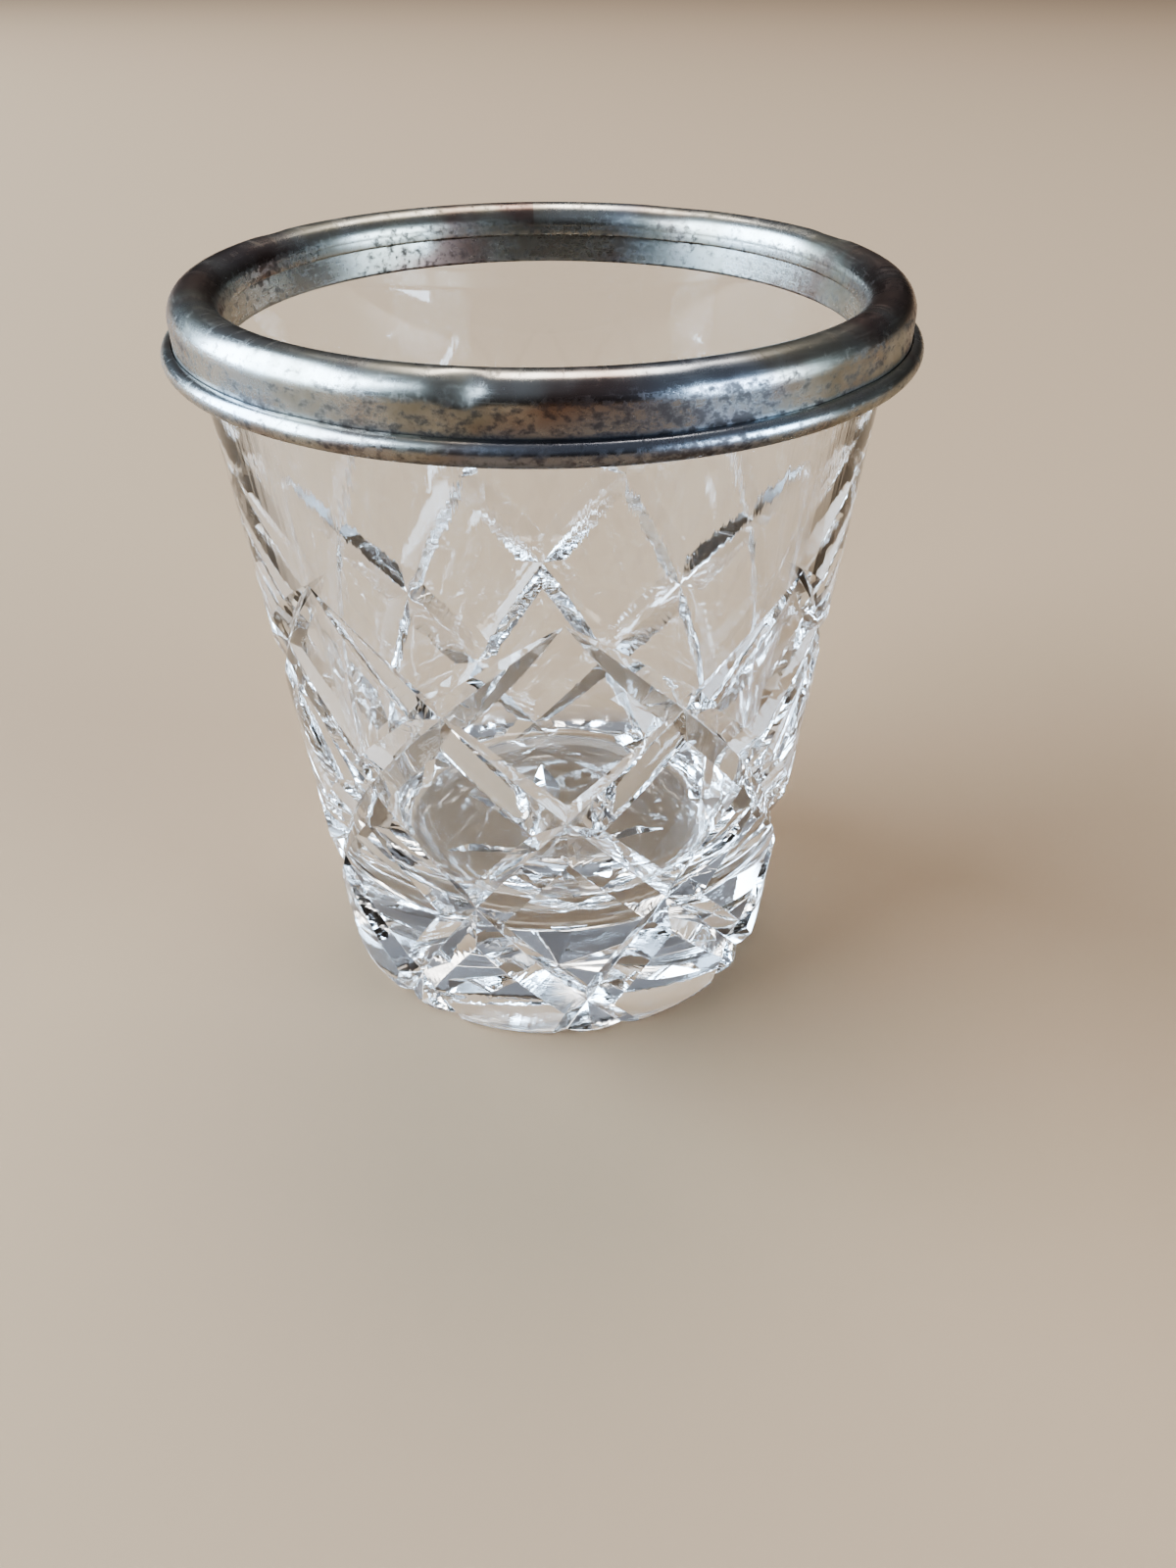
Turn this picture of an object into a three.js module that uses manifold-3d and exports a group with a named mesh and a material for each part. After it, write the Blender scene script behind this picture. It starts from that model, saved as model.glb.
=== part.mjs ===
// A cut-crystal tumbler with a rolled silver collar: five separate pieces on one axis.
// Millimetres, +Z up, origin at the centre of the foot. The front of the glass faces -Y.
import * as THREE from "three";
import { ParametricGeometry } from "three/addons/geometries/ParametricGeometry.js";
import { mergeVertices } from "three/addons/utils/BufferGeometryUtils.js";
import Module from "manifold-3d";

const wasm = await Module();
wasm.setup();

// ---- Driving dimensions ----
const overallHeight = 66.5; // foot to the crest of the collar's roll
const footRadius = 22.0; // flat face that the glass stands on
const heelRadius = 1.0; // round between the foot and the wall
const glassRimRadius = 28.75; // outside of the glass at its own rim, under the collar
const glassRimWall = 1.65; // thickness of the glass at its rim
const floorThickness = 9.8; // solid glass under the bowl
const floorWall = 4.5; // thickness of the wall where it nears the floor
const bowlCorner = 11.5; // reach of the round between the bowl's wall and its floor

const cutColumns = 8; // diamonds round the glass
const cutRows = 5; // crossings from a cut's tip down to the heel
const cutTopHeight = 48.0; // where each pair of cuts comes to a point
const rowPitch = 9.7; // height from the first row of crossings to the next
const rowGrowth = 0.33; // how much that grows, for each row squared
const cutDepth = 1.45; // depth of a cut at its deepest
const deepestRow = 2.7; // the row where that is
const cutEase = 0.17; // how much shallower a cut is, for each row squared from there
const cutHalfAngle = 60; // degrees, from the middle of the V to its side
const cutCreep = 5.2; // degrees that the hand-ground cuts creep round by the last row

const starRays = 8; // leaf-shaped rays of the star under the foot
const starRadius = 15.0; // from the centre to the outer tip of each ray
const starBelly = 10.5; // from the centre to where each ray is deepest and widest
const starDepth = 1.0; // depth of a ray there
const starHalfAngle = 62; // degrees, from the middle of a ray to its side
const starTurn = 4.5; // degrees that the star is turned from the cuts

const silverGauge = 0.45; // thickness of the collar's sheet
const bezelGauge = 0.4; // thickness of the inner ring's sheet
const cementWall = 0.6; // cement between the glass and the collar, at its thinnest
const collarDrop = 3.65; // straight wall of the collar under its roll
const rollTuck = 0.75; // how far the roll turns down inside the bowl
const bezelDrop = 3.2; // how far the inner ring reaches down inside the bowl
const glassRise = 0.35; // how far the glass stands up into the roll
const beadHeight = 1.8; // height of the half-round wire
const beadDepth = 1.0; // how far the wire stands out of the collar
const seamClearance = 0.1; // between any two pieces that touch

const sidesPerColumn = 8; // sides of every turned piece, for each column of diamonds
const cutSteps = 14; // stretches along one cut
const arcSteps = 3; // half the divisions of a round in a turned outline

// ---- Places worked out from them ----
const rad = THREE.MathUtils.degToRad;
const heelRimRadius = footRadius + heelRadius;
const rimHeight = overallHeight - glassRimWall; // where the rim's radius and wall are taken
const wallTaper = (glassRimRadius - heelRimRadius) / (rimHeight - heelRadius);
const outerRadius = (z) => heelRimRadius + wallTaper * (z - heelRadius);
const bowlTaper = wallTaper + (floorWall - glassRimWall) / (rimHeight - floorThickness);
const bowlRadius = (z) => glassRimRadius - glassRimWall - bowlTaper * (rimHeight - z);

// The inner ring lies on the bowl's wall.
const bezelBack = (z) => bowlRadius(z) - seamClearance;
const bezelFront = (z) => bezelBack(z) - bezelGauge;

// The collar's roll spans the glass, the cement outside it and the inner ring inside it.
const collarOuter = glassRimRadius + seamClearance + cementWall + seamClearance + silverGauge;
const rollInner = bezelFront(rimHeight) - seamClearance - silverGauge;
const rollRadius = (collarOuter - rollInner) / 2;
const rollCentre = new THREE.Vector2(rollInner + rollRadius, overallHeight - rollRadius);
const rollHollow = rollRadius - silverGauge;
const glassTop = rollCentre.y + glassRise;
const collarBottom = rollCentre.y - collarDrop;
const beadCentreHeight = collarBottom + beadHeight / 2;

// ---- Materials ----
const crystal = new THREE.MeshStandardMaterial({
  color: 0xe9f1f5,
  roughness: 0.03,
  metalness: 0,
  transparent: true,
  opacity: 0.3,
});
const silver = new THREE.MeshStandardMaterial({ color: 0xa39e92, roughness: 0.28, metalness: 1 });
const plaster = new THREE.MeshStandardMaterial({ color: 0xd8d2c4, roughness: 0.9, metalness: 0 });

// ---- Solids ----
// A closed three.js geometry as a solid that can be cut.
function solidOf(geometry) {
  const shell = geometry.clone();
  shell.deleteAttribute("normal");
  shell.deleteAttribute("uv");
  const merged = mergeVertices(shell, 1e-4);
  const mesh = new wasm.Mesh({
    numProp: 3,
    vertProperties: merged.attributes.position.array,
    triVerts: new Uint32Array(merged.index.array),
  });
  return new wasm.Manifold(mesh);
}

// A solid as a three.js geometry.
function geometryOf(solid) {
  const mesh = solid.getMesh();
  const geometry = new THREE.BufferGeometry();
  geometry.setAttribute("position", new THREE.BufferAttribute(mesh.vertProperties, 3));
  geometry.setIndex(new THREE.BufferAttribute(mesh.triVerts, 1));
  geometry.computeVertexNormals();
  return geometry;
}

// A piece turned round the Z axis. The outline runs anticlockwise in radius and height.
function turned(outline) {
  const points = outline.getPoints(arcSteps);
  return new THREE.LatheGeometry(points, sidesPerColumn * cutColumns).rotateX(Math.PI / 2);
}

// The bar that a V-shaped wheel takes out along a path. place(step) gives a point on the surface,
// the outward normal, the direction across the cut and the depth. The bar's top edges stand clear
// of the surface, and it closes to a point above the surface at its first and last step.
function wheelBar(place, steps, halfAngle) {
  const clearOfSurface = 1.2;
  const spread = Math.tan(rad(halfAngle));
  const edges = [0, -1, 1, 0]; // keel, one top edge, the other, and the keel again
  const surface = (u, v, target) => {
    const step = Math.round(v * steps);
    const { point, normal, across, depth } = place(step);
    const isEnd = step === 0 || step === steps;
    const side = isEnd ? 0 : edges[Math.round(u * 3)];
    const isKeel = side === 0 && !isEnd;
    target.copy(point).addScaledVector(normal, isKeel ? -depth : clearOfSurface);
    target.addScaledVector(across, side * (depth + clearOfSurface) * spread);
  };
  return solidOf(new ParametricGeometry(surface, 3, steps));
}

// ---- The glass ----
function crystalBlank() {
  const outline = new THREE.Path();
  outline.moveTo(0, 0);
  outline.lineTo(footRadius, 0);
  outline.absarc(footRadius, heelRadius, heelRadius, -Math.PI / 2, 0, false);
  const lip = glassRimWall / 2;
  const lipHeight = glassTop - lip;
  outline.lineTo(outerRadius(lipHeight), lipHeight);
  const lipOuter = outerRadius(lipHeight);
  const lipInner = bowlRadius(lipHeight);
  const lipCentre = (lipOuter + lipInner) / 2;
  outline.absellipse(lipCentre, lipHeight, (lipOuter - lipInner) / 2, lip, 0, Math.PI, false);
  const cornerTop = floorThickness + bowlCorner;
  outline.lineTo(bowlRadius(cornerTop), cornerTop);
  const corner = bowlRadius(floorThickness);
  outline.quadraticCurveTo(corner, floorThickness, corner - bowlCorner, floorThickness);
  outline.lineTo(0, floorThickness);
  return solidOf(turned(outline));
}

// One diagonal cut. It starts at a point at the top of its column, and runs down and round to one
// side until it leaves the glass through the heel. It is deepest where the wall is thick.
function diagonalCut(column, side) {
  const runOut = 0.5; // rows below the last crossing, where the bar is clear of the foot
  const rowStep = (cutRows - 1 + runOut) / (cutSteps - 2);
  const rowAngle = 180 / cutColumns;
  const columnAngle = -90 + (360 / cutColumns) * column;
  const pointAt = (row) => {
    const z = cutTopHeight - rowPitch * row - rowGrowth * row * row;
    const creep = cutCreep * (row / (cutRows - 1)) ** 4;
    const angle = rad(columnAngle + side * rowAngle * row + creep);
    const r = outerRadius(z);
    return new THREE.Vector3(r * Math.cos(angle), r * Math.sin(angle), z);
  };
  const depthAt = (row) => {
    const entry = row < 1 ? 1 - (1 - row) ** 2 : 1;
    return entry * (cutDepth - cutEase * (Math.max(row, 1) - deepestRow) ** 2);
  };
  const place = (step) => {
    const row = rowStep * (step - 1);
    const point = pointAt(row);
    const along = pointAt(row + rowStep).sub(pointAt(row - rowStep)).normalize();
    const normal = new THREE.Vector3(point.x, point.y, 0).normalize();
    normal.z = -wallTaper;
    normal.normalize();
    const across = new THREE.Vector3().crossVectors(along, normal).normalize();
    return { point, normal, across, depth: depthAt(row) };
  };
  return wheelBar(place, cutSteps, cutHalfAngle);
}

// One ray of the star under the foot: a leaf with a tip at the centre and another near the heel.
function starCut(ray) {
  const angle = rad((360 / starRays) * ray + starTurn);
  const direction = new THREE.Vector3(Math.cos(angle), Math.sin(angle), 0);
  const normal = new THREE.Vector3(0, 0, -1);
  const across = new THREE.Vector3().crossVectors(direction, normal);
  const reaches = [-starBelly, 0, starBelly, starRadius, 2 * starRadius - starBelly];
  const place = (step) => {
    const point = direction.clone().multiplyScalar(reaches[step]);
    return { point, normal, across, depth: reaches[step] === starBelly ? starDepth : 0 };
  };
  return wheelBar(place, reaches.length - 1, starHalfAngle);
}

function crystalBody() {
  let body = crystalBlank();
  for (let column = 0; column < cutColumns; column++) {
    for (const side of [-1, 1]) {
      body = body.subtract(diagonalCut(column, side));
    }
  }
  for (let ray = 0; ray < starRays; ray++) {
    body = body.subtract(starCut(ray));
  }
  return geometryOf(body);
}

// ---- The silver collar ----
// Straight wall outside, a full roll over the glass, and a short edge turned down inside.
function collarBand() {
  const outline = new THREE.Path();
  const tuckBottom = rollCentre.y - rollTuck;
  const tuckBack = bezelFront(tuckBottom) - seamClearance;
  outline.moveTo(collarOuter - silverGauge, collarBottom);
  outline.lineTo(collarOuter, collarBottom);
  outline.absarc(rollCentre.x, rollCentre.y, rollRadius, 0, Math.PI, false);
  outline.lineTo(tuckBack - silverGauge, tuckBottom);
  outline.lineTo(tuckBack, tuckBottom);
  outline.absarc(rollCentre.x, rollCentre.y, rollHollow, Math.PI, 0, true);
  outline.lineTo(collarOuter - silverGauge, collarBottom);
  return turned(outline);
}

// The ring inside the mouth, with its top tucked behind the roll.
function collarBezel() {
  const outline = new THREE.Path();
  const top = rollCentre.y;
  const bottom = top - bezelDrop;
  outline.moveTo(bezelFront(bottom), bottom);
  outline.lineTo(bezelBack(bottom), bottom);
  outline.lineTo(bezelBack(top), top);
  outline.lineTo(bezelFront(top), top);
  outline.lineTo(bezelFront(bottom), bottom);
  return turned(outline);
}

// The half-round wire soldered round the collar's lower edge.
function beadWire() {
  const outline = new THREE.Path();
  const back = collarOuter + seamClearance;
  const half = beadHeight / 2;
  const stand = beadDepth - seamClearance;
  outline.moveTo(back, beadCentreHeight - half);
  outline.absellipse(back, beadCentreHeight, stand, half, -Math.PI / 2, Math.PI / 2, false);
  outline.lineTo(back, beadCentreHeight - half);
  return turned(outline);
}

// The plaster that holds the collar: it fills the channel outside the glass and over its rim.
function cementBed() {
  const outline = new THREE.Path();
  const bottom = collarBottom + cementWall;
  const outside = collarOuter - silverGauge - seamClearance;
  const hollow = rollHollow - seamClearance;
  const lid = glassTop + seamClearance;
  const lidSlope = Math.asin((lid - rollCentre.y) / hollow);
  const glassSide = outerRadius(lid) + seamClearance;
  outline.moveTo(outerRadius(bottom) + seamClearance, bottom);
  outline.lineTo(outside, bottom);
  outline.absarc(rollCentre.x, rollCentre.y, hollow, 0, Math.PI - lidSlope, false);
  outline.lineTo(glassSide, lid);
  outline.lineTo(outerRadius(bottom) + seamClearance, bottom);
  return turned(outline);
}

// ---- The assembly ----
function piece(name, geometry, material) {
  const mesh = new THREE.Mesh(geometry, material);
  mesh.name = name;
  return mesh;
}

const tumbler = new THREE.Group();
tumbler.add(piece("crystal_body", crystalBody(), crystal));
tumbler.add(piece("collar_band", collarBand(), silver));
tumbler.add(piece("collar_bezel", collarBezel(), silver));
tumbler.add(piece("bead_wire", beadWire(), silver));
tumbler.add(piece("cement_bed", cementBed(), plaster));

export default tumbler;
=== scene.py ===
"""A cut-crystal tumbler with a rolled silver collar, on a pale studio floor. Metres, Z up."""

import math

import bmesh
import bpy
from bpy.props import FloatProperty, FloatVectorProperty, IntProperty, PointerProperty
from mathutils import Euler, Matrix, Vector


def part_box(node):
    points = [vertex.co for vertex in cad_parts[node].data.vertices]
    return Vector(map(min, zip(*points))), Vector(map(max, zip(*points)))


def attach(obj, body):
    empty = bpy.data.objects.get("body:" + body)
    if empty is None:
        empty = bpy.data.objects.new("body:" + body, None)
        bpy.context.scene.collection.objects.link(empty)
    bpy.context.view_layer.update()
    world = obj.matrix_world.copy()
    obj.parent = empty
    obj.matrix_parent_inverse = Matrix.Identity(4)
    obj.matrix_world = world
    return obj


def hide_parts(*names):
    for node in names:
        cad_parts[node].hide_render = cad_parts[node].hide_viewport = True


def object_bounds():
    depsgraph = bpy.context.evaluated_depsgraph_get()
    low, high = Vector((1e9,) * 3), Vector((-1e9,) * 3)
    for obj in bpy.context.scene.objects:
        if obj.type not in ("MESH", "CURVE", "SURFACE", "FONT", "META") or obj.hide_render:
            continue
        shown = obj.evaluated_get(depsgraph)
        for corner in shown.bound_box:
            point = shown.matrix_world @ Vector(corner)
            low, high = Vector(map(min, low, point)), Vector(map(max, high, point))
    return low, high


bl_info = {
    "name": "Cut-Crystal Tumbler",
    "version": (1, 0, 0),
    "blender": (4, 5, 0),
    "location": "3D View > Sidebar > Tumbler",
    "description": "Builds a cut-crystal tumbler with a silver collar, its stage and its lights",
    "category": "Add Mesh",
}

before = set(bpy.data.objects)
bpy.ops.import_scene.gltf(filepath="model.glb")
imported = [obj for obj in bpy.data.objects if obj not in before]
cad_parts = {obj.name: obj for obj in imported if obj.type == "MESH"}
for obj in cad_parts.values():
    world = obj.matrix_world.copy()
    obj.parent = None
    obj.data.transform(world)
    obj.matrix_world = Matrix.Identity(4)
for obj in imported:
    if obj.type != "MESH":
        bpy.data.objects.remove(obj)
CAD_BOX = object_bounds()
BODY = "root"

GLASS_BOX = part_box("crystal_body")
BAND_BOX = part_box("collar_band")
BEZEL_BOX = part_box("collar_bezel")
BEAD_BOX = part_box("bead_wire")


# ---- Sizes and colours ----
def length(name, description, default):
    """A length in metres."""
    return FloatProperty(name=name, description=description, default=default, unit="LENGTH", precision=5)


def angle(name, description, degrees):
    """An angle, stated in degrees."""
    return FloatProperty(
        name=name, description=description, default=math.radians(degrees), subtype="ANGLE"
    )


def share(name, description, default):
    """A number from 0 to 1."""
    return FloatProperty(
        name=name, description=description, default=default, min=0.0, max=1.0, subtype="FACTOR"
    )


def colour(name, description, default):
    """A linear colour."""
    return FloatVectorProperty(
        name=name, description=description, default=default, size=3, min=0.0, max=1.0, subtype="COLOR"
    )


class GlassSizes(bpy.types.PropertyGroup):
    """Sizes of the crystal and its cuts."""

    foot_radius: length("Foot radius", "Flat face that the glass stands on", 0.022)
    heel_radius: length("Heel radius", "Round between the foot and the wall", 0.001)
    rim_wall: length("Rim wall", "Thickness of the glass at its rim", 0.00165)
    floor_thickness: length("Floor thickness", "Solid glass under the bowl", 0.0098)
    floor_wall: length("Floor wall", "Thickness of the wall where it nears the floor", 0.0045)
    bowl_corner: length("Bowl corner", "Reach of the round between wall and floor", 0.0115)
    columns: IntProperty(name="Columns", description="Diamonds round the glass", default=8, min=3)
    rows: IntProperty(name="Rows", description="Crossings from a cut's tip to the heel", default=5, min=2)
    cut_top: length("Cut top", "Height where each pair of cuts comes to a point", 0.048)
    row_pitch: length("Row pitch", "Height from the first crossings to the next", 0.0097)
    row_growth: length("Row growth", "How much the pitch grows, for each row squared", 0.00033)
    cut_depth: length("Cut depth", "Depth of a cut at its deepest", 0.00145)
    deepest_row: FloatProperty(name="Deepest row", description="Row where the cuts are deepest", default=2.7)
    cut_ease: length("Cut ease", "How much shallower a cut is, for each row squared from there", 0.00017)
    cut_half_angle: angle("Cut half angle", "From the middle of the V to its side", 60)
    cut_creep: angle("Cut creep", "How far the hand-ground cuts creep round by the last row", 5.2)
    star_rays: IntProperty(name="Star rays", description="Leaf-shaped rays under the foot", default=8, min=4)
    star_radius: length("Star radius", "From the centre to the outer tip of each ray", 0.015)
    star_belly: length("Star belly", "From the centre to where each ray is deepest", 0.0105)
    star_depth: length("Star depth", "Depth of a ray at its deepest", 0.001)
    star_half_angle: angle("Star half angle", "From the middle of a ray to its side", 62)
    star_turn: angle("Star turn", "How far the star is turned from the cuts", 4.5)
    sides: IntProperty(name="Sides", description="Sides of the turned blank", default=320, min=32)


class CollarSizes(bpy.types.PropertyGroup):
    """Sizes of the silver mount."""

    gauge: length("Gauge", "Thickness of the collar's sheet", 0.00045)
    bezel_gauge: length("Bezel gauge", "Thickness of the inner ring's sheet", 0.0004)
    cement_wall: length("Cement wall", "Cement between the glass and the collar", 0.0006)
    clearance: length("Clearance", "Between pieces that touch", 0.0001)
    roll_tuck: length("Roll tuck", "How far the roll turns down inside the bowl", 0.00075)
    dent_depth: length("Dent depth", "Depth of the deepest dent", 0.00026)
    sway: length("Sway", "How far wear has pushed the collar out of round", 0.00005)
    sides: IntProperty(name="Sides", description="Sides of each ring", default=288, min=32)


class Finishes(bpy.types.PropertyGroup):
    """Colours and surface finishes."""

    glass_tint: colour("Glass tint", "Colour of the crystal", (0.985, 0.992, 1.0))
    glass_bend: FloatProperty(
        name="Refractive index", description="Lead crystal is about 1.55", default=1.55, min=1.0, max=2.0
    )
    edge_softness: length("Edge softness", "Round that polishing leaves along the cuts", 0.00012)
    silver: colour("Silver", "Worn silver", (0.46, 0.45, 0.42))
    film: colour("Film", "Thin olive tarnish", (0.25, 0.228, 0.178))
    # The brown is both random tarnish and a painted reflection, browner at the front of the collar.
    brown_tarnish_and_reflection: colour("Brown", "Reddish-brown tarnish", (0.19, 0.112, 0.092))
    bloom: colour("Bloom", "Pale blue tarnish", (0.30, 0.37, 0.44))
    # The stain colour is also painted as a dark reflection just right of the front of the collar.
    stain_and_dark_reflection: colour("Stain", "Heavy brown-black tarnish", (0.05, 0.036, 0.03))
    plaster: colour("Plaster", "Cement under the collar", (0.62, 0.57, 0.48))
    polish: share("Polish", "Roughness of clean silver", 0.22)


class StageSizes(bpy.types.PropertyGroup):
    """Floor, lights and camera."""

    floor_colour: colour("Floor", "Pale studio floor", (0.35, 0.235, 0.145))
    room_low: colour("Room, low", "Dim room at the height of the floor", (0.045, 0.038, 0.034))
    room_high: colour("Room, high", "Lighter room overhead", (0.25, 0.275, 0.32))
    daylight: colour("Daylight", "Light from the two windows", (0.60, 0.79, 1.0))
    lamplight: colour("Lamplight", "Light from the ceiling", (1.0, 0.95, 0.88))
    floor_gap: length("Floor gap", "Air under the foot", 0.00005)
    floor_size: length("Floor size", "Width of the studio floor", 12.0)
    camera_distance: length("Camera distance", "From the axis of the glass to the camera, level", 0.10277)
    camera_height: length("Camera height", "From the floor to the camera", 0.08857)
    camera_turn: angle("Camera turn", "How far the camera stands to the left of the front", 2.0)
    camera_tilt: angle("Camera tilt", "How far the camera looks down", 35.87)
    camera_pan: angle("Camera pan", "How far the camera looks to the right of the axis", 2.01)
    camera_lens: FloatProperty(name="Lens", description="Focal length in millimetres", default=27.05)


# ---- Shader nodes ----
class Value:
    """A node's output that can be used in sums."""

    def __init__(self, shade, socket):
        self.shade = shade
        self.socket = socket

    def maths(self, operation, first, second):
        """A Math node."""
        return self.shade.node("ShaderNodeMath", {"operation": operation}, {0: first, 1: second})

    def __add__(self, other):
        return self.maths("ADD", self, other)

    def __radd__(self, other):
        return self.maths("ADD", other, self)

    def __sub__(self, other):
        return self.maths("SUBTRACT", self, other)

    def __rsub__(self, other):
        return self.maths("SUBTRACT", other, self)

    def __mul__(self, other):
        return self.maths("MULTIPLY", self, other)

    def __rmul__(self, other):
        return self.maths("MULTIPLY", other, self)


class Shade:
    """Builds one node tree."""

    def __init__(self, tree):
        self.tree = tree
        self.tree.nodes.clear()

    def node(self, kind, settings=None, inputs=None, output=0):
        """Makes a node, sets its settings, fills its sockets and returns one of its outputs."""
        made = self.tree.nodes.new(kind)
        for key, value in (settings or {}).items():
            setattr(made, key, value)
        for key, value in (inputs or {}).items():
            socket = made.inputs[key]
            if isinstance(value, Value):
                self.tree.links.new(value.socket, socket)
            else:
                socket.default_value = value
        if not made.outputs:
            return None
        return Value(self, made.outputs[output])

    def place(self):
        """Position on the object in metres, as a vector."""
        return self.node("ShaderNodeTexCoord", output="Object")

    def axis(self, vector, letter):
        """One number out of a vector."""
        return self.node("ShaderNodeSeparateXYZ", None, {"Vector": vector}, output=letter)

    def vector(self, x, y, z):
        """Three numbers as a vector."""
        return self.node("ShaderNodeCombineXYZ", None, {"X": x, "Y": y, "Z": z})

    def noise(self, vector, scale, detail=3.0, roughness=0.55):
        """Cloudy noise from 0 to 1."""
        inputs = {"Vector": vector, "Scale": scale, "Detail": detail, "Roughness": roughness}
        return self.node("ShaderNodeTexNoise", {"noise_dimensions": "3D"}, inputs, output="Fac")

    def ease(self, value, low, high):
        """0 below low, 1 above high, and smooth between them. high may be the smaller."""
        settings = {"interpolation_type": "SMOOTHSTEP", "clamp": True}
        if low < high:
            inputs = {"Value": value, "From Min": low, "From Max": high}
            return self.node("ShaderNodeMapRange", settings, inputs)
        inputs = {"Value": value, "From Min": high, "From Max": low}
        return 1.0 - self.node("ShaderNodeMapRange", settings, inputs)

    def blend(self, factor, first, second):
        """A mix of two colours."""
        inputs = {0: factor, 6: first, 7: second}
        return self.node("ShaderNodeMix", {"data_type": "RGBA"}, inputs, output=2)

    def bump(self, height, distance):
        """A normal from a height from 0 to 1, and what that height is in metres."""
        return self.node("ShaderNodeBump", None, {"Height": height, "Distance": distance})

    def surface(self, shader):
        """Makes a shader the material's surface."""
        self.node("ShaderNodeOutputMaterial", None, {"Surface": shader})


def new_material(name):
    """An empty material and the builder of its nodes."""
    material = bpy.data.materials.new(name)
    material.use_nodes = True
    return material, Shade(material.node_tree)


def opaque(tint):
    """A colour with full alpha."""
    return (*tint, 1.0)


def round_glass(shade):
    """Turn about the axis in radians and height in metres, so that noise can be drawn out along them."""
    place = shade.place()
    x = shade.axis(place, "X")
    y = shade.axis(place, "Y")
    turn = shade.node("ShaderNodeMath", {"operation": "ARCTAN2"}, {0: x, 1: 0.0 - y})
    return turn, shade.axis(place, "Z")


def crystal_material(looks):
    """Polished lead crystal: draw lines from the blowing, streaks by the mouth and wear near the foot."""
    material, shade = new_material("polished_crystal")
    turn, height = round_glass(shade)
    place = shade.place()
    draw_lines = shade.noise(shade.vector(turn * 16.0, height * 8.0, 0.0), 1.0, 2.0)
    ripple = shade.noise(place, 90.0, 1.0)
    streaks = shade.noise(shade.vector(turn * 34.0, height * 9.0, 5.0), 1.0, 3.0, 0.6)
    by_mouth = shade.ease(height, 0.049, 0.058)
    wear = shade.noise(place, 1400.0, 4.0, 0.7)
    near_foot = shade.ease(height, 0.004, 0.0005)
    roughness = 0.004 + near_foot * shade.ease(wear, 0.55, 0.75) * 0.12
    soft_edges = shade.node("ShaderNodeBevel", {"samples": 4}, {"Radius": looks.edge_softness})
    waves = draw_lines * 0.7 + ripple * 0.3 + streaks * by_mouth * 0.9
    surface = {"Height": waves, "Distance": 0.00001, "Normal": soft_edges}
    inputs = {
        "Base Color": opaque(looks.glass_tint),
        "Transmission Weight": 1.0,
        "IOR": looks.glass_bend,
        "Roughness": roughness,
        "Normal": shade.node("ShaderNodeBump", None, surface),
    }
    shade.surface(shade.node("ShaderNodeBsdfPrincipled", None, inputs))
    return material


def silver_material(name, looks, dirt, stain_and_reflection_low, stain_and_reflection_high, stain_share):
    """Old silver: drifting tarnish, browner at the front as a painted reflection of a dark floor there, dark
    stains between two heights with a painted dark reflection just right of the front, and dirt below a third
    height.
    """
    material, shade = new_material(name)
    turn, height = round_glass(shade)
    place = shade.place()
    cloud = shade.noise(place, 75.0, 4.0)
    drift = shade.noise(shade.vector(turn * 1.9, height * 110.0, 4.0), 1.0, 4.0)
    bloom = shade.noise(shade.vector(turn * 1.3, height * 60.0, 11.0), 1.0, 2.0)
    fleck = shade.noise(shade.vector(turn * 34.0, height * 1500.0, 2.0), 1.0, 8.0, 0.68)
    mottle = shade.noise(place, 900.0, 6.0, 0.7)
    scratch = shade.noise(shade.vector(turn * 9.0, height * 5200.0, 1.0), 1.0, 5.0, 0.6)
    fade = 0.0005
    low_edge = shade.ease(height, stain_and_reflection_low, stain_and_reflection_low + fade)
    high_edge = shade.ease(height, stain_and_reflection_high, stain_and_reflection_high - fade)
    gather = low_edge * high_edge * shade.ease(drift, 0.36, 0.54)
    # Painted reflection: the front is browner, standing in for a dark floor reflected there.
    painted_front_reflection = shade.ease(turn, -0.26, 0.0) * shade.ease(turn, 0.52, 0.34)
    # Painted reflection: a dark patch just right of the front, between the stain heights, added to the
    # stains.
    painted_dark_reflection = shade.ease(turn, 0.15, 0.26) * shade.ease(turn, 0.50, 0.38)
    painted_dark_reflection_patch = painted_dark_reflection * low_edge * high_edge * 0.10
    stain_and_dark_reflection = shade.ease(fleck + gather * stain_share + painted_dark_reflection_patch, 0.53, 0.72)
    film = shade.ease(cloud + mottle * 0.25, 0.48, 0.74)
    grime = shade.ease(height + mottle * 0.0005, dirt + 0.0007, dirt + 0.0002)
    tint = shade.blend(film * 0.85, opaque(looks.silver), opaque(looks.film))
    tint = shade.blend(shade.ease(drift + painted_front_reflection * 0.16, 0.47, 0.66) * 0.8, tint, opaque(looks.brown_tarnish_and_reflection))
    tint = shade.blend(shade.ease(bloom, 0.54, 0.68) * 0.5, tint, opaque(looks.bloom))
    tint = shade.blend(stain_and_dark_reflection * 0.68, tint, opaque(looks.stain_and_dark_reflection))
    tint = shade.blend(grime * 0.45, tint, opaque(looks.stain_and_dark_reflection))
    rough = looks.polish + film * 0.1 + stain_and_dark_reflection * 0.25 + grime * 0.2 + shade.ease(scratch, 0.5, 0.8) * 0.12
    waves = shade.bump(shade.noise(place, 160.0, 2.0), 0.00005)
    fine = {"Height": scratch * 0.5 + stain_and_dark_reflection * 0.6, "Distance": 0.000006, "Normal": waves}
    inputs = {
        "Base Color": tint,
        "Metallic": 1.0,
        "Roughness": rough,
        "Normal": shade.node("ShaderNodeBump", None, fine),
    }
    shade.surface(shade.node("ShaderNodeBsdfPrincipled", None, inputs))
    return material


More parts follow.
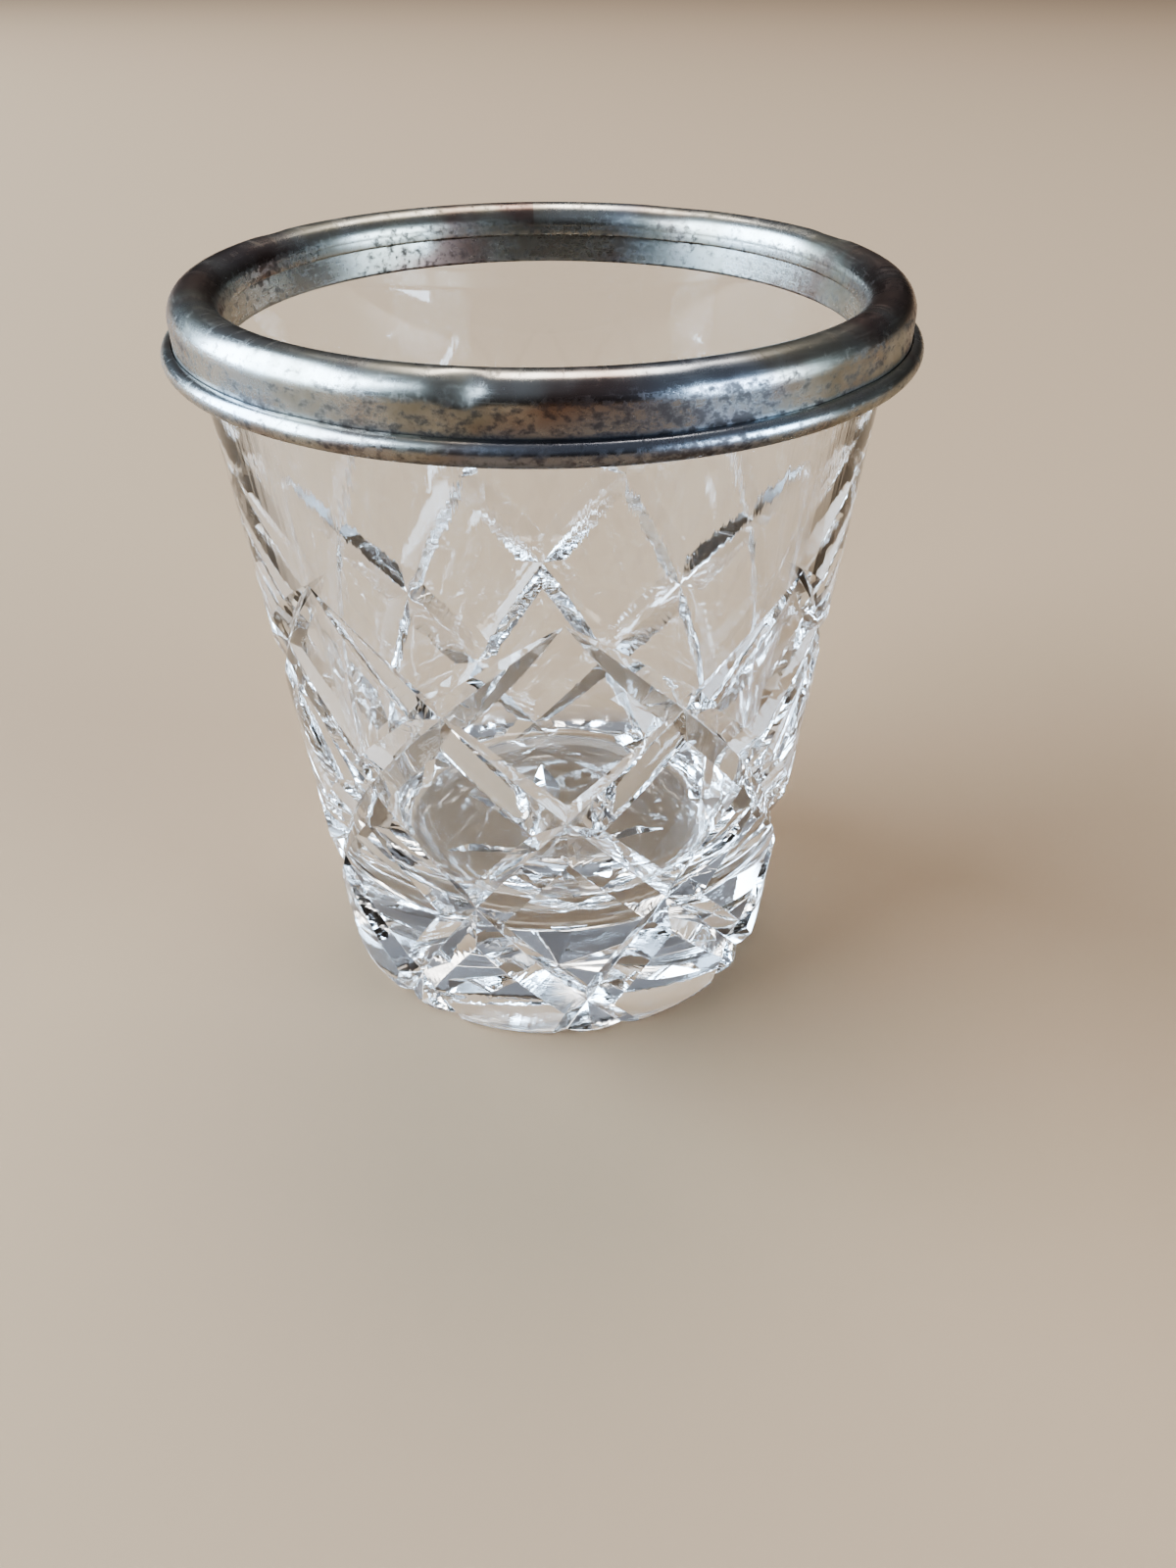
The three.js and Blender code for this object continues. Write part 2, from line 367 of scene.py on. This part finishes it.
def cement_material(looks):
    """Dry, chalky plaster."""
    material, shade = new_material("plaster_cement")
    place = shade.place()
    grain = shade.noise(place, 1800.0, 6.0, 0.7)
    blotch = shade.noise(place, 220.0, 3.0)
    dark = [part * 0.55 for part in looks.plaster]
    inputs = {
        "Base Color": shade.blend(blotch, opaque(looks.plaster), opaque(dark)),
        "Roughness": 0.8 + grain * 0.15,
        "Normal": shade.bump(grain, 0.00005),
    }
    shade.surface(shade.node("ShaderNodeBsdfPrincipled", None, inputs))
    return material


# ---- Outlines and turned meshes ----
def arc(centre, radii, start, end, steps):
    """Points round an ellipse, from one angle in degrees to another, both ends included."""
    points = []
    for step in range(steps + 1):
        turn = math.radians(start + (end - start) * step / steps)
        points.append((centre[0] + radii[0] * math.cos(turn), centre[1] + radii[1] * math.sin(turn)))
    return points


def curve(start, corner, end, steps):
    """Points along a quadratic curve, both ends included."""
    points = []
    for step in range(steps + 1):
        t = step / steps
        weights = ((1 - t) ** 2, 2 * t * (1 - t), t**2)
        r = sum(w * p[0] for w, p in zip(weights, (start, corner, end)))
        z = sum(w * p[1] for w, p in zip(weights, (start, corner, end)))
        points.append((r, z))
    return points


def straight(start, end, steps):
    """Points between two others, which are left out, closer together near both ends."""
    points = []
    for step in range(1, steps):
        t = (1 - math.cos(math.pi * step / steps)) / 2
        points.append((start[0] + (end[0] - start[0]) * t, start[1] + (end[1] - start[1]) * t))
    return points


def on_circle(radius, turn, z):
    """A point at a radius and height, turned anticlockwise from the front."""
    return Vector((radius * math.sin(turn), -radius * math.cos(turn), z))


def turned(name, outline, sides):
    """An object turned from an outline of radius and height. The outline closes on itself or on the axis."""
    mesh = bmesh.new()
    rings = []
    for radius, z in outline:
        if radius < 1e-7:
            rings.append([mesh.verts.new((0, 0, z))] * sides)
            continue
        ring = [mesh.verts.new(on_circle(radius, 2 * math.pi * i / sides, z)) for i in range(sides)]
        rings.append(ring)
    on_axis = outline[0][0] < 1e-7
    pairs = list(zip(rings, rings[1:] if on_axis else rings[1:] + rings[:1]))
    for low, high in pairs:
        for i in range(sides):
            j = (i + 1) % sides
            corners = dict.fromkeys((low[i], low[j], high[j], high[i]))
            mesh.faces.new(tuple(corners))
    bmesh.ops.recalc_face_normals(mesh, faces=mesh.faces)
    return to_object(name, mesh)


def to_object(name, mesh):
    """A bmesh as a smooth object in the scene."""
    data = bpy.data.meshes.new(name)
    mesh.to_mesh(data)
    mesh.free()
    data.shade_smooth()
    piece = bpy.data.objects.new(name, data)
    bpy.context.scene.collection.objects.link(piece)
    return piece


def finish_piece(piece, material, node):
    """Gives a piece its material and its place in the frame."""
    piece.data.materials.clear()
    piece.data.materials.append(material)
    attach(piece, BODY)
    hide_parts(node)


# ---- The crystal ----
class Crystal:
    """Places on the glass, worked out from its sizes and the collar's."""

    def __init__(self, glass, collar):
        self.glass = glass
        self.heel_rim = glass.foot_radius + glass.heel_radius
        self.rim_height = BAND_BOX[1].z - glass.rim_wall
        packing = collar.gauge + collar.cement_wall + 2 * collar.clearance
        self.rim_radius = BAND_BOX[1].x - packing
        self.taper = (self.rim_radius - self.heel_rim) / (self.rim_height - glass.heel_radius)
        thinning = (glass.floor_wall - glass.rim_wall) / (self.rim_height - glass.floor_thickness)
        self.bowl_taper = self.taper + thinning

    def outer(self, z):
        """Radius of the outside at a height."""
        return self.heel_rim + self.taper * (z - self.glass.heel_radius)

    def bowl(self, z):
        """Radius of the bowl at a height."""
        return self.rim_radius - self.glass.rim_wall - self.bowl_taper * (self.rim_height - z)

    def outward(self, place):
        """Direction straight out of the wall."""
        level = Vector((place[0], place[1], 0)).normalized()
        return (level - Vector((0, 0, self.taper))).normalized()

    def outline(self):
        """The blank before it is cut."""
        glass = self.glass
        lip = glass.rim_wall / 2
        lip_z = GLASS_BOX[1].z - lip
        lip_out = self.outer(lip_z)
        lip_in = self.bowl(lip_z)
        corner_z = glass.floor_thickness + glass.bowl_corner
        corner = self.bowl(glass.floor_thickness)
        flat = (corner - glass.bowl_corner, glass.floor_thickness)
        heel = arc((glass.foot_radius, glass.heel_radius), [glass.heel_radius] * 2, -90, 0, 6)
        lip_centre = ((lip_out + lip_in) / 2, lip_z)
        rim = arc(lip_centre, ((lip_out - lip_in) / 2, lip), 0, 180, 14)
        wall_foot = (self.bowl(corner_z), corner_z)
        round_in = curve(wall_foot, (corner, glass.floor_thickness), flat, 14)
        inside = straight(rim[-1], wall_foot, 10)
        floor = straight(flat, (0, glass.floor_thickness), 6)
        return [(0, 0), *heel, *rim, *inside, *round_in, *floor, (0, glass.floor_thickness)]

    def cut_point(self, column, side, row):
        """The surface under the middle of a cut, after it has come down some rows."""
        glass = self.glass
        z = glass.cut_top - glass.row_pitch * row - glass.row_growth * row * row
        turn = (2 * math.pi * column + side * math.pi * row) / glass.columns
        creep = glass.cut_creep * (row / (glass.rows - 1)) ** 4
        return on_circle(self.outer(z), turn + creep, z)

    def cut_depth(self, row):
        """Depth of a cut, after it has come down some rows."""
        glass = self.glass
        entry = 1 - (1 - min(row, 1)) ** 2
        easing = glass.cut_ease * (max(row, 1) - glass.deepest_row) ** 2
        return entry * (glass.cut_depth - easing)

    def diagonal_cut(self, column, side, steps=72):
        """Stations along one diagonal cut: point, outward, across and depth."""
        run = self.glass.rows - 0.5
        row_step = run / (steps - 2)
        stations = []
        for step in range(steps + 1):
            row = row_step * (step - 1)
            point = self.cut_point(column, side, row)
            ahead = self.cut_point(column, side, row + row_step)
            behind = self.cut_point(column, side, row - row_step)
            outward = self.outward(point)
            across = (ahead - behind).cross(outward).normalized()
            stations.append((point, outward, across, self.cut_depth(row)))
        return stations

    def star_cut(self, ray, steps=24):
        """Stations along one ray of the star: a leaf with a tip at the centre and one near the heel."""
        glass = self.glass
        along = on_circle(1.0, 2 * math.pi * ray / glass.star_rays + glass.star_turn, 0)
        outward = Vector((0, 0, -1))
        across = along.cross(outward)
        stations = []
        for step in range(-1, steps + 2):
            t = step / steps
            reach = glass.star_radius * t
            if reach < glass.star_belly:
                swell = reach / glass.star_belly
            else:
                swell = (glass.star_radius - reach) / (glass.star_radius - glass.star_belly)
            depth = glass.star_depth * max(0.0, min(swell, 1.0))
            stations.append((along * reach, outward, across, depth))
        return stations


def wheel_bar(name, stations, half_angle):
    """The V-shaped bar that a cutting wheel takes out along its stations."""
    clear = 0.0012
    spread = math.tan(half_angle)
    mesh = bmesh.new()
    rings = []
    for index, (point, outward, across, depth) in enumerate(stations):
        top = point + outward * clear
        if index in (0, len(stations) - 1):
            rings.append([mesh.verts.new(top)] * 3)
            continue
        reach = across * (depth + clear) * spread
        corners = (point - outward * depth, top + reach, top - reach)
        rings.append([mesh.verts.new(corner) for corner in corners])
    for low, high in zip(rings, rings[1:]):
        for i in range(3):
            j = (i + 1) % 3
            corners = dict.fromkeys((low[i], low[j], high[j], high[i]))
            mesh.faces.new(tuple(corners))
    bmesh.ops.recalc_face_normals(mesh, faces=mesh.faces)
    bmesh.ops.triangulate(mesh, faces=mesh.faces)
    return to_object(name, mesh)


def carve(blank, cutters):
    """Takes the cutters out of the blank and leaves its mesh carved."""
    for cutter in cutters:
        cut = blank.modifiers.new(cutter.name, "BOOLEAN")
        cut.operation = "DIFFERENCE"
        cut.solver = "MANIFOLD"
        cut.object = cutter
    graph = bpy.context.evaluated_depsgraph_get()
    carved = bpy.data.meshes.new_from_object(blank.evaluated_get(graph))
    blank.modifiers.clear()
    blank.data = carved
    for cutter in cutters:
        bpy.data.objects.remove(cutter)


def sharpen(data, crystal):
    """Crisp edges along the cuts, and true normals on the wall and the foot between them."""
    crease = math.radians(24)
    close = math.cos(math.radians(12))
    flat = 0.9999
    down = Vector((0, 0, -1))
    data.shade_smooth()
    data.set_sharp_from_angle(angle=crease)
    normals = [Vector((0, 0, 0))] * len(data.loops)
    for face in data.polygons:
        on_wall = face.normal.dot(crystal.outward(face.center)) > close
        on_wall = on_wall and face.center.z > crystal.glass.heel_radius
        on_foot = face.normal.dot(down) > flat
        for corner in face.loop_indices:
            if on_foot:
                normals[corner] = down
            elif on_wall:
                place = data.vertices[data.loops[corner].vertex_index].co
                normals[corner] = crystal.outward(place)
    data.normals_split_custom_set(normals)


class TUMBLER_OT_crystal(bpy.types.Operator):
    """Turn the crystal blank, cut its diamonds and its star, and polish it"""

    bl_idname = "tumbler.crystal"
    bl_label = "Crystal Body"

    def execute(self, context):
        glass = context.scene.tumbler_glass
        crystal = Crystal(glass, context.scene.tumbler_collar)
        blank = turned("crystal", crystal.outline(), glass.sides)
        cutters = []
        for column in range(glass.columns):
            for side in (-1, 1):
                stations = crystal.diagonal_cut(column, side)
                cutters.append(wheel_bar("diagonal_wheel", stations, glass.cut_half_angle))
        for ray in range(glass.star_rays):
            cutters.append(wheel_bar("star_wheel", crystal.star_cut(ray), glass.star_half_angle))
        carve(blank, cutters)
        sharpen(blank.data, crystal)
        finish_piece(blank, crystal_material(context.scene.tumbler_finishes), "crystal_body")
        return {"FINISHED"}


# ---- The silver mount ----
class Mount:
    """Places on the silver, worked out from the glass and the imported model."""

    def __init__(self, crystal, collar):
        self.crystal = crystal
        self.collar = collar
        self.outer = BAND_BOX[1].x
        self.inner = self.bezel_front(crystal.rim_height) - collar.clearance - collar.gauge
        self.roll = (self.outer - self.inner) / 2
        self.centre = (self.inner + self.roll, BAND_BOX[1].z - self.roll)

    def bezel_back(self, z):
        """Radius of the inner ring's back at a height."""
        return self.crystal.bowl(z) - self.collar.clearance

    def bezel_front(self, z):
        """Radius of the inner ring's face at a height."""
        return self.bezel_back(z) - self.collar.bezel_gauge

    def band_outline(self):
        """Outer wall, roll over the rim and short edge turned down inside."""
        gauge = self.collar.gauge
        foot = BAND_BOX[0].z
        tuck_z = self.centre[1] - self.collar.roll_tuck
        tuck_back = self.bezel_front(tuck_z) - self.collar.clearance
        hem = arc((self.outer - gauge / 2, foot + gauge / 2), [gauge / 2] * 2, 180, 360, 8)
        hollow = self.roll - gauge
        outside = arc(self.centre, [self.roll] * 2, 0, 180, 40)
        lip = arc((tuck_back - gauge / 2, tuck_z + gauge / 2), [gauge / 2] * 2, 180, 360, 8)
        inside = arc(self.centre, [hollow] * 2, 180, 0, 24)
        wall = straight(hem[-1], outside[0], 14)
        return [*hem, *wall, *outside, *lip, *inside]

    def bezel_outline(self):
        """Flat ring on the bowl's wall, with a rounded lower edge."""
        low = BEZEL_BOX[0].z
        high = BEZEL_BOX[1].z
        half = self.collar.bezel_gauge / 2
        middle = self.bezel_front(low + half) + half
        edge = arc((middle, low + half), [half] * 2, 180, 360, 8)
        back = straight(edge[-1], (self.bezel_back(high), high), 6)
        top = [(self.bezel_back(high), high), (self.bezel_front(high), high)]
        front = straight(top[-1], edge[0], 12)
        return [*edge, *back, *top, *front]

    def bead_outline(self):
        """Half-round wire with a flat back."""
        back = self.outer + self.collar.clearance
        middle = (BEAD_BOX[0].z + BEAD_BOX[1].z) / 2
        half = (BEAD_BOX[1].z - BEAD_BOX[0].z) / 2
        return arc((back, middle), (BEAD_BOX[1].x - back, half), -90, 90, 24)


# Knocks in the collar: turn from the front and lean round the roll, both in degrees, how far below
# the roll, the knock's radius in metres, and its depth as a share of the deepest. A lean of 0 is the
# outer wall and 90 is the crest.
KNOCKS = (
    (-12.5, 41.0, 0.0, 0.0013, 1.0),
    (-34.0, 0.0, 0.0008, 0.0024, 0.3),
    (21.0, 20.0, 0.0, 0.0020, 0.35),
    (44.0, 0.0, 0.0012, 0.0026, 0.35),
    (112.0, 70.0, 0.0, 0.0022, 0.4),
    (150.0, 130.0, 0.0, 0.0030, 0.3),
    (176.0, 0.0, 0.0014, 0.0026, 0.45),
    (-122.0, 40.0, 0.0, 0.0020, 0.4),
)


def wear(piece, mount):
    """Pushes a ring gently out of round and knocks small dents into it, always inwards."""
    collar = mount.collar
    for vertex in piece.data.vertices:
        place = vertex.co.copy()
        turn = math.atan2(place.x, -place.y)
        level = Vector((place.x, place.y, 0)).normalized()
        push = collar.sway * (0.5 + 0.3 * math.sin(3 * turn + 0.6) + 0.2 * math.sin(7 * turn + 2.0))
        vertex.co = place - level * push
        for degrees, lean, drop, radius, depth in KNOCKS:
            out = math.cos(math.radians(lean))
            up = math.sin(math.radians(lean))
            ring = mount.centre[0] + mount.roll * out
            centre = on_circle(ring, math.radians(degrees), mount.centre[1] + mount.roll * up - drop)
            distance = (place - centre).length / radius
            inward = -on_circle(out, math.radians(degrees), up)
            vertex.co += inward * collar.dent_depth * depth * math.exp(-(distance**4))


class TUMBLER_OT_collar(bpy.types.Operator):
    """Spin the silver band, its inner ring and its bead, and wear them"""

    bl_idname = "tumbler.collar"
    bl_label = "Silver Collar"

    def execute(self, context):
        collar = context.scene.tumbler_collar
        looks = context.scene.tumbler_finishes
        mount = Mount(Crystal(context.scene.tumbler_glass, collar), collar)
        foot = BEAD_BOX[0].z
        crease = BEAD_BOX[1].z
        shoulder = mount.centre[1] + 0.5 * mount.roll
        ring_foot = BEZEL_BOX[0].z
        crest = BAND_BOX[1].z
        rings = (
            ("band", mount.band_outline(), "collar_band", "collar_silver"),
            ("inner_ring", mount.bezel_outline(), "collar_bezel", "bezel_silver"),
            ("bead", mount.bead_outline(), "bead_wire", "bead_silver"),
        )
        # Where dirt ends, where stains and the painted dark reflection begin and end, and how thick the
        # stains lie.
        tarnish = {
            "band": (crease, foot, shoulder, 0.10),
            "inner_ring": (ring_foot, foot, crest, 0.07),
            "bead": (foot, foot, crease, 0.07),
        }
        for name, outline, node, slot in rings:
            ring = turned(name, outline, collar.sides)
            wear(ring, mount)
            ring.data.set_sharp_from_angle(angle=math.radians(50))
            finish_piece(ring, silver_material(slot, looks, *tarnish[name]), node)
        return {"FINISHED"}


class TUMBLER_OT_cement(bpy.types.Operator):
    """Finish the cement that holds the collar"""

    bl_idname = "tumbler.cement"
    bl_label = "Cement Bed"

    def execute(self, context):
        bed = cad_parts["cement_bed"]
        bed.data.materials.clear()
        bed.data.materials.append(cement_material(context.scene.tumbler_finishes))
        return {"FINISHED"}


# ---- The stage ----
def floor_material(tint):
    """Plain pale floor."""
    material, shade = new_material("pale_floor")
    inputs = {"Base Color": opaque(tint), "Roughness": 0.75}
    shade.surface(shade.node("ShaderNodeBsdfPrincipled", None, inputs))
    return material


def soft_light(name, place, aim, width, height, power, tint):
    """A rectangular soft light at a place, pointing at another."""
    data = bpy.data.lights.new(name, "AREA")
    data.shape = "RECTANGLE"
    data.size = width
    data.size_y = height
    data.energy = power
    data.color = tint
    lamp = bpy.data.objects.new(name, data)
    lamp.location = place
    lamp.rotation_euler = (Vector(aim) - Vector(place)).to_track_quat("-Z", "Y").to_euler()
    bpy.context.scene.collection.objects.link(lamp)


def studio_room(stage):
    """A dim room round the stage, lighter overhead."""
    world = bpy.data.worlds.new("studio")
    world.use_nodes = True
    bpy.context.scene.world = world
    shade = Shade(world.node_tree)
    direction = shade.node("ShaderNodeTexCoord", output="Generated")
    overhead = shade.ease(shade.axis(direction, "Z"), 0.0, 0.9)
    tint = shade.blend(overhead, opaque(stage.room_low), opaque(stage.room_high))
    background = shade.node("ShaderNodeBackground", None, {"Color": tint, "Strength": 0.8})
    shade.node("ShaderNodeOutputWorld", None, {"Surface": background})


class TUMBLER_OT_stage(bpy.types.Operator):
    """Lay the floor, hang the lights and set the camera"""

    bl_idname = "tumbler.stage"
    bl_label = "Stage"

    def execute(self, context):
        stage = context.scene.tumbler_stage
        mesh = bmesh.new()
        bmesh.ops.create_grid(mesh, x_segments=1, y_segments=1, size=stage.floor_size / 2)
        floor = to_object("floor", mesh)
        floor.location.z = -stage.floor_gap
        floor.data.materials.append(floor_material(stage.floor_colour))
        studio_room(stage)
        middle = (0, 0, CAD_BOX[1].z / 2)
        soft_light("left_window", (-2.15, 0.05, 1.12), middle, 2.7, 2.1, 195.0, stage.daylight)
        soft_light("right_window", (1.75, -1.0, 0.5), middle, 1.1, 0.92, 42.0, stage.daylight)
        soft_light("ceiling", (0.2, 1.4, 3.0), middle, 2.0, 1.6, 45.0, stage.lamplight)
        context.scene.cycles.max_bounces = 24
        context.scene.cycles.transmission_bounces = 24
        context.scene.cycles.glossy_bounces = 12
        context.scene.view_settings.view_transform = "AgX"
        context.scene.view_settings.look = "AgX - High Contrast"
        context.scene.view_settings.exposure = 0.25

        data = bpy.data.cameras.new("camera")
        data.lens = stage.camera_lens
        data.clip_start = 0.005
        camera = bpy.data.objects.new("camera", data)
        camera.location = on_circle(stage.camera_distance, -stage.camera_turn, stage.camera_height)
        look = math.pi / 2 - stage.camera_tilt
        camera.rotation_euler = Euler((look, 0, -stage.camera_turn - stage.camera_pan))
        context.scene.collection.objects.link(camera)
        context.scene.camera = camera
        return {"FINISHED"}


class TUMBLER_PT_panel(bpy.types.Panel):
    """Lists what the tumbler is made of"""

    bl_idname = "TUMBLER_PT_panel"
    bl_label = "Tumbler"
    bl_space_type = "VIEW_3D"
    bl_region_type = "UI"
    bl_category = "Tumbler"

    def draw(self, context):
        for operator in OPERATORS:
            self.layout.operator(operator.bl_idname)
        for group in SETTINGS:
            box = self.layout.box()
            settings = getattr(context.scene, group)
            for name in settings.__annotations__:
                box.prop(settings, name)


SETTINGS = {
    "tumbler_glass": GlassSizes,
    "tumbler_collar": CollarSizes,
    "tumbler_finishes": Finishes,
    "tumbler_stage": StageSizes,
}
OPERATORS = (TUMBLER_OT_crystal, TUMBLER_OT_collar, TUMBLER_OT_cement, TUMBLER_OT_stage)
CLASSES = (*SETTINGS.values(), *OPERATORS, TUMBLER_PT_panel)


def register():
    """Adds the settings, the operators and the panel."""
    for each in CLASSES:
        bpy.utils.register_class(each)
    for name, group in SETTINGS.items():
        setattr(bpy.types.Scene, name, PointerProperty(type=group))


def unregister():
    """Takes them away again."""
    for name in SETTINGS:
        delattr(bpy.types.Scene, name)
    for each in reversed(CLASSES):
        bpy.utils.unregister_class(each)


def main():
    """Builds everything."""
    register()
    bpy.ops.tumbler.crystal()
    bpy.ops.tumbler.collar()
    bpy.ops.tumbler.cement()
    bpy.ops.tumbler.stage()


if __name__ == "__main__":
    main()
